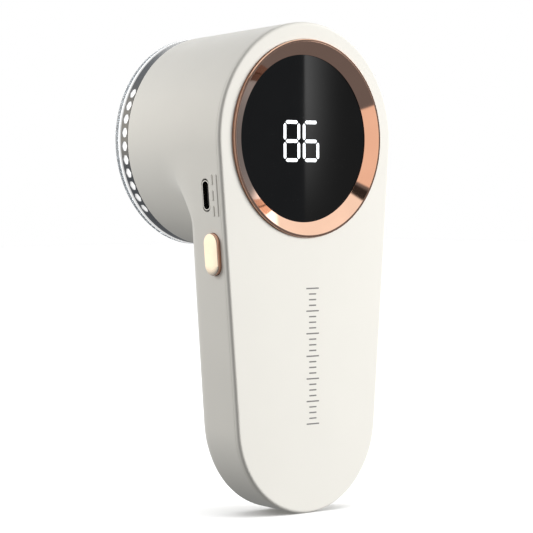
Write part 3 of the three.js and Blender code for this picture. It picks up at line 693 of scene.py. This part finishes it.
def socket(sheet=0.3, lip=0.04, contacts=6, contact_offset=0.36):
    """The charging socket: a drawn steel shell with a rolled mouth, and a black tongue with gold contacts."""
    mouth, tail = SOCKET["mouth"], SOCKET["tail"]
    end = tail + 1.4
    profile = [(tail, 0), (mouth + lip, 0), (mouth, lip), (mouth, sheet - lip), (mouth + lip, sheet)]
    profile += [(end, sheet), (end, SOCKET["width"] / 2 - 0.02)]
    shell = side_slot(SOCKET, profile)
    piece("socket_shell", *shell, bright_steel, "body", "socket_steel", ["charging_socket_shell"])
    shape = {**SOCKET, "length": 6.6, "width": 0.7}
    tongue = side_slot(shape, [(mouth + 0.8, 0.12), (mouth + 0.92, 0), (tail + 1.2, 0)])
    piece("socket_tongue", *tongue, black, "body", "black_plastic", ["charging_socket_tongue"])
    for side, offset in (("front", -contact_offset), ("back", contact_offset)):
        for i in range(contacts):
            place = {"depth": SOCKET["depth"] + offset, "z": SOCKET["z"] + i - (contacts - 1) / 2}
            contact = side_slot({**place, "length": 0.5, "width": 0.06}, [(mouth + 1.1, 0), (mouth + 3.6, 0)])
            piece(f"socket_contact_{side}_{i + 1}", *contact, brass, "body", "brass")


# ------------------------------------------------------------------ perforated foil cap
def perforated(border, holes, inside):
    """A flat sheet with holes: its points, the triangles that inside() accepts, and the numbers of the points
    round each hole."""
    points, edges, loops = [], [], []
    for loop in [border, *holes]:
        first = len(points)
        points += loop
        loops.append([first + i for i in range(len(loop))])
        edges += [(a, b) for a, b in zip(loops[-1], loops[-1][1:] + loops[-1][:1])]
    flat = delaunay_2d_cdt([Vector(p) for p in points], edges, [], 0, 1e-5)
    sheet_points, triangles = flat[0], flat[2]
    kept = [t for t in triangles if inside(sum((sheet_points[i] for i in t), Vector((0, 0))) / 3)]
    return [tuple(p) for p in sheet_points], kept, loops[1:]


def doubled(sheet, outer, inner):
    """A perforated sheet given thickness: outer and inner place its points, and walls line its holes."""
    points, triangles, holes = sheet
    count = len(points)
    verts = [outer(p) for p in points] + [inner(p) for p in points]
    faces = [tuple(t) for t in triangles] + [tuple(i + count for i in reversed(t)) for t in triangles]
    for hole in holes:
        faces += [(a, b, b + count, a + count) for a, b in zip(hole, hole[1:] + hole[:1])]
    return verts, faces


def sleeve(profile):
    """An open band of a (radius, depth) profile turned about the head axis."""
    verts, faces = lathe(profile, FOIL_STEPS, closed=False)
    return verts, faces[:-2]


def joined(*parts):
    """Several lists of points and faces as one; piece() welds the points that meet."""
    verts, faces = [], []
    for part_verts, part_faces in parts:
        shift = len(verts)
        verts += part_verts
        faces += [tuple(i + shift for i in face) for face in part_faces]
    return verts, faces


def hexagon(x, z, flats):
    """A hexagon with a corner on the x axis, flats across."""
    reach = flats / math.sqrt(3)
    turns = [ROUND * k / 6 for k in range(6)]
    return [(x + reach * math.cos(a), z + reach * math.sin(a)) for a in turns]


def foil_face(pitch=2.75, flats=2.15, reach=27.0, solid=2.4):
    """The flat face of the cap: a hexagonal lattice of holes round a solid centre, in a plain rim."""
    rim = FOIL_RADIUS - FOIL_CORNER
    turns = [ROUND * i / FOIL_STEPS for i in range(FOIL_STEPS)]
    circle = [(rim * math.cos(a), rim * math.sin(a)) for a in turns]
    centres = []
    rows = math.ceil(reach / pitch) + 1
    for i in range(-2 * rows, 2 * rows + 1):
        for j in range(-rows, rows + 1):
            x, z = pitch * (i + j / 2), pitch * j * math.sqrt(3) / 2
            if solid < math.hypot(x, z) < reach - flats / 2:
                centres.append((x, z))
    lattice = {(round(x, 3), round(z, 3)) for x, z in centres}

    def inside(p):
        if math.hypot(p.x, p.y) > rim:
            return False
        j = round(p.y / (pitch * math.sqrt(3) / 2))
        for row in (j - 1, j, j + 1):
            i = round(p.x / pitch - row / 2)
            x, z = pitch * (i + row / 2), pitch * row * math.sqrt(3) / 2
            if (round(x, 3), round(z, 3)) in lattice and in_hexagon(p.x - x, p.y - z, flats):
                return False
        return True

    return perforated(circle, [hexagon(x, z, flats) for x, z in centres], inside)


def in_hexagon(x, z, flats):
    """True inside a hexagon with a corner on the x axis."""
    return all(abs(x * math.sin(a) - z * math.cos(a)) < flats / 2 for a in (0, math.pi / 3, 2 * math.pi / 3))


def side_hole():
    """A rounded hexagon, wide round the cap's side and high along its depth, about its own middle."""
    w, h = SIDE_HOLES["wide"] / 2, SIDE_HOLES["high"] / 2
    corners = [(-w, -h / 2), (0, -h), (w, -h / 2), (w, h / 2), (0, h), (-w, h / 2)]
    return rounded([(u, v, SIDE_HOLES["soft"]) for u, v in corners], 4)


def side_hole_angles():
    """The angles of the holes' middles round the cap's side, in radians."""
    first = (1 - SIDE_HOLES["each"]) / 2
    places = [first + k for k in range(SIDE_HOLES["each"])]
    return [math.radians(middle + SIDE_HOLES["pitch"] * k) for middle in SIDE_HOLES["groups"] for k in places]


def foil_side():
    """The cap's side, unrolled: points of arc length and depth, with its groups of holes."""
    middle = (SKIRT_TOP + SKIRT_BOTTOM) / 2
    girth = ROUND * FOIL_RADIUS
    lower = [(girth * i / FOIL_STEPS, SKIRT_BOTTOM) for i in range(FOIL_STEPS + 1)]
    upper = [(girth * i / FOIL_STEPS, SKIRT_TOP) for i in reversed(range(FOIL_STEPS + 1))]
    outline = side_hole()
    places = [angle * FOIL_RADIUS for angle in side_hole_angles()]
    holes = [[(place + u, middle + v) for u, v in outline] for place in places]
    corners = [Vector(p) for p in outline]

    def inside(p):
        if not (0 < p.x < girth and SKIRT_BOTTOM < p.y < SKIRT_TOP):
            return False
        nearest = min(places, key=lambda place: abs(p.x - place))
        return not in_convex(Vector((p.x - nearest, p.y - middle)), corners)

    return perforated(lower + upper, holes, inside)


def in_convex(p, corners):
    """True where a point lies inside a convex outline, whichever way round the outline runs."""
    turns = [(b - a).cross(p - a) for a, b in zip(corners, corners[1:] + corners[:1])]
    return all(t > -1e-7 for t in turns) or all(t < 1e-7 for t in turns)


def foil_cap():
    """The whole cap, pressed from one sheet: perforated face, rolled corner, perforated side, bottom edge."""
    inner, rim = FOIL_RADIUS - FOIL_SHEET, FOIL_RADIUS - FOIL_CORNER
    back = FOIL_FACE - FOIL_SHEET

    def flat(depth):
        return lambda p: at(p[0], depth, p[1])

    def wrapped(radius):
        def place(p):
            angle = p[0] / FOIL_RADIUS
            return at(radius * math.cos(angle), p[1], radius * math.sin(angle))

        return place

    turns = quarter(6)
    bend = [(rim + FOIL_CORNER * math.sin(t), FOIL_FACE - FOIL_CORNER * (1 - math.cos(t))) for t in turns]
    bevel = 0.06
    edge = [(FOIL_RADIUS, SKIRT_BOTTOM), (FOIL_RADIUS - bevel, FOIL_OPEN)]
    edge += [(inner + bevel, FOIL_OPEN), (inner, SKIRT_BOTTOM)]
    cap = joined(
        doubled(foil_face(), flat(FOIL_FACE), flat(back)),
        doubled(foil_side(), wrapped(FOIL_RADIUS), wrapped(inner)),
        sleeve(bend),
        sleeve([(rim, back), (inner, SKIRT_TOP)]),
        sleeve(edge),
    )
    piece("foil_cap_sheet", *cap, foil_steel, "foil_head", "foil_steel", ["foil_cap"], 25)


def foil_carrier(inner=28.9, plug=30.4, near=41, far=50):
    """The white ring inside the cap, with a narrower plug that fits in the barrel."""
    flange = FOIL_RADIUS - FOIL_SHEET - 0.05
    corners = [(inner, near, 0.2), (plug, near, 0.3), (plug, FOIL_OPEN, 0)]
    corners += [(flange, FOIL_OPEN, 0), (flange, far, 0.1), (inner, far, 0.2)]
    # The ring's white glows a little, though it is no lamp: painted light.
    turned("foil_carrier_ring", corners, glowing_white, "foil_head", "white_plastic", ["foil_carrier"])


def guard_ring(inner=28.6, outer=32.6, step=31.0, band=0.65):
    """The clear guard, with the white band that seats it on the foil cap; the band glows and paints the
    bright highlight ring at the guard's base.
    """
    corners = [
        (inner, GUARD_NEAR, 0.2),
        (step, GUARD_NEAR, 0),
        (step, GUARD_NEAR + band, 0),
        (outer, GUARD_NEAR + band, 0.1),
        (outer, GUARD_FACE, 0.7),
        (inner, GUARD_FACE, 0.5),
    ]
    turned("guard_ring_clear", corners, clear, "guard", "clear_plastic", ["guard_ring"], steps=300)
    # The white band is a painted highlight: it glows to stand in for the bright ring of light at the guard's
    # base.
    seat = [(step + 0.05, GUARD_NEAR, 0.1), (outer - 0.05, GUARD_NEAR, 0.1)]
    seat += [(outer - 0.05, GUARD_NEAR + band - 0.05, 0.1), (step + 0.05, GUARD_NEAR + band - 0.05, 0.1)]
    turned("guard_band_painted_highlight", seat, glowing_white, "guard", "white_plastic", steps=300)


# ------------------------------------------------------------------ blade and drive
def on_circle(start, end, radius):
    """Where the straight line from start to end leaves a circle about the origin."""
    along = end - start
    a, b, c = along.dot(along), start.dot(along), start.dot(start) - radius * radius
    return start + along * ((math.sqrt(b * b - a * c) - b) / a)


def blade_outline(arms=6, disc=10.0, root=8.0, tip=28.4, sweep=14.0, root_half=20.0, tip_half=5.5):
    """Six swept arms that taper outwards from a round disc; the angles are in degrees."""

    def polar(radius, degrees):
        return Vector((math.cos(math.radians(degrees)), math.sin(math.radians(degrees)))) * radius

    points = []
    for k in range(arms):
        a = 360 * k / arms
        first = on_circle(polar(root, a - root_half), polar(tip, a + sweep - tip_half), disc)
        last = on_circle(polar(root, a + root_half), polar(tip, a + sweep + tip_half), disc)
        points.append(first)
        points += [polar(tip, a + sweep + tip_half * i / 3) for i in range(-3, 4)]
        points.append(last)
        from_angle = math.degrees(math.atan2(last.y, last.x))
        gap = (math.degrees(math.atan2(first.y, first.x)) + 360 / arms - from_angle) % 360
        points += [polar(disc, from_angle + gap * i / 5) for i in range(1, 5)]
    return points


def blade_star():
    """The rotating blade, ground to a bevel on the side that runs against the foil."""
    outline = blade_outline()
    rings = []
    for depth, size in ((49.6, 0.985), (49.35, 1.0), (48.5, 1.0)):
        rings.append([at(p.x * size, depth, p.y * size) for p in outline])
    star = loft(rings, closed=False)
    piece("blade_star_ground", *star, blade_steel, "blade_head", "blade_steel", ["blade_star"], 20)


def blade_spring(turns=4, radius=6.3, wire=0.33, near=39.6, far=46.2):
    """The coil spring under the blade hub."""
    steps, sides, travel = 40 * turns, 12, 1.0
    rings = []
    for i in range(steps + 1):
        along = i / steps
        a = ROUND * turns * along
        depth = near + (far - near) * along
        ring = []
        for j in range(sides):
            b = ROUND * j / sides
            reach = radius + wire * math.cos(b)
            ring.append(at(reach * math.cos(a), depth + wire * math.sin(b), reach * math.sin(a)))
        rings.append(ring)
    coil = loft(rings, closed=False)
    spring = piece("blade_spring_coil", *coil, steel, "spindle", "spring_steel", ["blade_spring"])
    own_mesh(spring)


def finish_inner_nodes():
    """Gives each CAD node that is kept its procedural material."""
    finishes = {
        white: ["motor_holder", "motor_end_cap", "switch_plunger", "led_display"],
        black: ["controller_chip", "charger_chip", "power_switch", "blade_hub"],
        grey: ["charger_coil", "drive_coupler"],
        board: ["main_board", "battery_board"],
        foam: ["lens_tape", "battery_pad", "shaft_seal"],
        pouch: ["battery_cell"],
        red_sleeve: ["battery_lead_red", "motor_lead_red"],
        black_sleeve: ["battery_lead_black", "motor_lead_black"],
        steel: ["motor_can", "motor_shaft"],
        ferrite: ["motor_magnet_1", "motor_magnet_2"],
        copper: ["motor_armature"],
        brass: ["motor_bearing", "motor_commutator", "motor_terminal_1", "motor_terminal_2", "blade_rivet"],
    }
    finishes[steel] += [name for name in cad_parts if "_screw_" in name]
    for material, names in finishes.items():
        for name in names:
            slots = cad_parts[name].data.materials
            slots.clear()
            slots.append(material)


# ------------------------------------------------------------------ stage
CAMERA_TURN = math.radians(-41.63)
CAMERA_RISE = math.radians(1.74)
CAMERA_ROLL = math.radians(-0.19)
CAMERA_PAN = (12.48, 38.71)
CAMERA_DISTANCE = 726.34
CAMERA_LENS = 162.17
AMBIENT_LEVEL = (0.27, 0.27, 0.265, 1)
AMBIENT_TOP = (0.42, 0.42, 0.42, 1)
REFLECTED_ROOM = (0.155, 0.165, 0.18, 1)
# Each panel: direction, where it is full and where it ends in degrees from its middle, and colour.
REFLECTION_PANELS = [
    ((0.0, 1.0, 0.1), 30, 50, (0.6, 0.62, 0.65)),
    ((-0.245, -0.9645, 0.0976), 23.5, 25, (0.92, 0.78, 0.68)),
    ((0.444, -0.236, 0.8635), 47, 49, (1.07, 1.12, 1.10)),
    ((0.95, 0.0, 0.33), 6, 11, (2.2, 2.3, 2.4)),
    ((-0.07, -0.818, 0.57), 3, 5, (0.03, 0.03, 0.03)),
    ((0.97, -0.25, 0.0), 8, 22, (0.55, 0.66, 0.75)),
    ((-0.60, 0.747, 0.22), 20, 26, (1.35, 1.25, 1.1)),
    ((0.56, 0.747, 0.36), 12, 22, (1.5, 1.5, 1.5)),
]


def camera():
    """The viewpoint: from the left of the display, a little above level, with a long lens."""
    turn, rise = CAMERA_TURN, CAMERA_RISE
    back = Vector((math.sin(turn) * math.cos(rise), -math.cos(turn) * math.cos(rise), math.sin(rise)))
    level = Vector((math.cos(turn), math.sin(turn), 0))
    upright = back.cross(level)
    right = level * math.cos(CAMERA_ROLL) + upright * math.sin(CAMERA_ROLL)
    up = back.cross(right)
    data = bpy.data.cameras.new("camera")
    data.lens = CAMERA_LENS
    data.clip_end = 20
    obj = bpy.data.objects.new("camera", data)
    place = back * CAMERA_DISTANCE - right * CAMERA_PAN[0] - up * CAMERA_PAN[1]
    axes = Matrix((right, up, back)).transposed().to_4x4()
    obj.matrix_world = Matrix.Translation(at(*place)) @ axes
    bpy.context.scene.collection.objects.link(obj)
    bpy.context.scene.camera = obj
    return obj


def soft_light(name, direction, distance, size, watts):
    """A square soft light aimed at the head, unseen in reflections."""
    light = bpy.data.lights.new(name, "AREA")
    light.shape = "SQUARE"
    light.size = size
    light.energy = watts
    obj = bpy.data.objects.new(name, light)
    towards = Vector(direction).normalized()
    target = at(0, 20, -20)
    obj.location = target + towards * distance
    obj.rotation_euler = towards.to_track_quat("Z", "Y").to_euler()
    obj.visible_glossy = False
    bpy.context.scene.collection.objects.link(obj)


def studio_world():
    """White to the camera, even to matt surfaces, and dark with soft bright panels in reflections."""
    world = bpy.data.worlds.new("studio")
    bpy.context.scene.world = world
    world.use_nodes = True
    tree = world.node_tree
    nodes, links = tree.nodes, tree.links
    background = nodes["Background"]
    direction = nodes.new("ShaderNodeTexCoord").outputs["Generated"]
    path = nodes.new("ShaderNodeLightPath")

    def mix(factor, a, b):
        node = nodes.new("ShaderNodeMix")
        node.data_type = "RGBA"
        for key, value in (("Factor", factor), ("A", a), ("B", b)):
            if hasattr(value, "is_output"):
                links.new(value, node.inputs[key])
            else:
                node.inputs[key].default_value = value
        return node.outputs["Result"]

    def panel(below, towards, inner, outer, colour):
        """Blends a round soft panel over what is already in the reflections."""
        aim = nodes.new("ShaderNodeVectorMath")
        aim.operation = "DOT_PRODUCT"
        links.new(direction, aim.inputs[0])
        aim.inputs[1].default_value = Vector(towards).normalized()
        edge = nodes.new("ShaderNodeMapRange")
        edge.interpolation_type = "SMOOTHSTEP"
        edge.inputs["From Min"].default_value = math.cos(math.radians(outer))
        edge.inputs["From Max"].default_value = math.cos(math.radians(inner))
        links.new(aim.outputs["Value"], edge.inputs["Value"])
        return mix(edge.outputs["Result"], below, (*colour, 1))

    seen = REFLECTED_ROOM
    for towards, inner, outer, colour in REFLECTION_PANELS:
        seen = panel(seen, towards, inner, outer, colour)
    split = nodes.new("ShaderNodeSeparateXYZ")
    links.new(direction, split.inputs[0])
    ambient = mix(split.outputs["Z"], AMBIENT_LEVEL, AMBIENT_TOP)
    lit_world = mix(path.outputs["Is Glossy Ray"], ambient, seen)
    behind_glass = mix(path.outputs["Is Transmission Ray"], lit_world, (1, 1, 1, 1))
    links.new(mix(path.outputs["Is Camera Ray"], behind_glass, (1, 1, 1, 1)), background.inputs["Color"])


def glare_card(viewer):
    """A glowing card reflected in the right half of the display glass. It is seen only in reflections."""
    mirrored_eye = viewer.location.copy()
    mirrored_eye.y = 2 * (FRONT + LENS_FRONT) * MM - mirrored_eye.y
    left, right, half, distance = 0.4, 24, 30, 1.75

    def beyond(x, z):
        """Out along the sight line that the glass reflects at (x, z)."""
        return mirrored_eye + (at(x, LENS_FRONT, z) - mirrored_eye) * distance

    corners = [beyond(left, -half), beyond(right, -half), beyond(right, half), beyond(left, half)]
    card = mesh_object("glare_card", corners, [(0, 1, 2, 3)])
    sheet = card.data.uv_layers.new(name="across")
    for loop, uv in zip(sheet.data, ((0, 0), (1, 0), (1, 1), (0, 1))):
        loop.uv = uv
    material = bpy.data.materials.new("glare_card_glow")
    material.use_nodes = True
    nodes, links = material.node_tree.nodes, material.node_tree.links
    nodes.clear()
    place = nodes.new("ShaderNodeSeparateXYZ")
    links.new(nodes.new("ShaderNodeTexCoord").outputs["UV"], place.inputs[0])

    def fade(value, start, end, first, last):
        node = nodes.new("ShaderNodeMapRange")
        node.interpolation_type = "SMOOTHSTEP"
        for name, number in (("From Min", start), ("From Max", end), ("To Min", first), ("To Max", last)):
            node.inputs[name].default_value = number
        links.new(value, node.inputs["Value"])
        return node.outputs["Result"]

    def calculate(operation, a, b):
        node = nodes.new("ShaderNodeMath")
        node.operation = operation
        links.new(a, node.inputs[0])
        if hasattr(b, "is_output"):
            links.new(b, node.inputs[1])
        else:
            node.inputs[1].default_value = b
        return node.outputs["Value"]

    across = calculate("POWER", fade(place.outputs["X"], -0.45, 0.95, 1.18, 0.0), 2.0)
    upwards = fade(place.outputs["Y"], 0.05, 0.75, 0.1, 1.9)
    glow = nodes.new("ShaderNodeEmission")
    least = 0.16
    links.new(calculate("ADD", calculate("MULTIPLY", across, upwards), least), glow.inputs["Strength"])
    links.new(glow.outputs["Emission"], nodes.new("ShaderNodeOutputMaterial").inputs["Surface"])
    card.data.materials.append(material)
    card.visible_camera = False
    card.visible_diffuse = False
    card.visible_shadow = False
    card.visible_transmission = False


def floor():
    """A wide pale floor under the foot, which doesn't colour the object from below."""
    half = 3.0
    corners = [(-half, -half, 0), (half, -half, 0), (half, half, 0), (-half, half, 0)]
    obj = mesh_object("floor", corners, [(0, 1, 2, 3)])
    n = Nodes("pale_floor")
    n.link(n.colours(n.noise(3, 2), (0.93, 0.93, 0.93), (0.91, 0.91, 0.91)), n.shader.inputs["Base Color"])
    n.set(Roughness=0.9)
    obj.data.materials.append(n.material)
    obj.visible_glossy = False
    obj.visible_diffuse = False
    obj.visible_transmission = False
    return obj


def floor_light(floor_object):
    """A very soft light from straight above that reaches only the floor, so that it stays pale all over."""
    light = bpy.data.lights.new("floor_light", "SUN")
    light.energy = 2.6
    light.angle = math.radians(80)
    obj = bpy.data.objects.new("floor_light", light)
    bpy.context.scene.collection.objects.link(obj)
    only_floor = bpy.data.collections.new("lit_by_the_floor_light")
    only_floor.objects.link(floor_object)
    obj.light_linking.receiver_collection = only_floor


viewer = camera()
studio_world()
soft_light("key_light", direction=(0.78, -0.60, 0.12), distance=1.1, size=0.6, watts=20.6)
soft_light("side_light", direction=(-0.66, 0.62, 0.34), distance=0.45, size=0.25, watts=1.25)
glare_card(viewer)
floor_light(floor())
bpy.context.scene.view_settings.view_transform = "Standard"

front_cover()
rear_housing()
cover_screws()
direct_current_mark()
printed_scale()
trim_ring()
display_lens()
digits()
power_button()
socket()
foil_cap()
foil_carrier()
guard_ring()
blade_star()
blade_spring()
finish_inner_nodes()
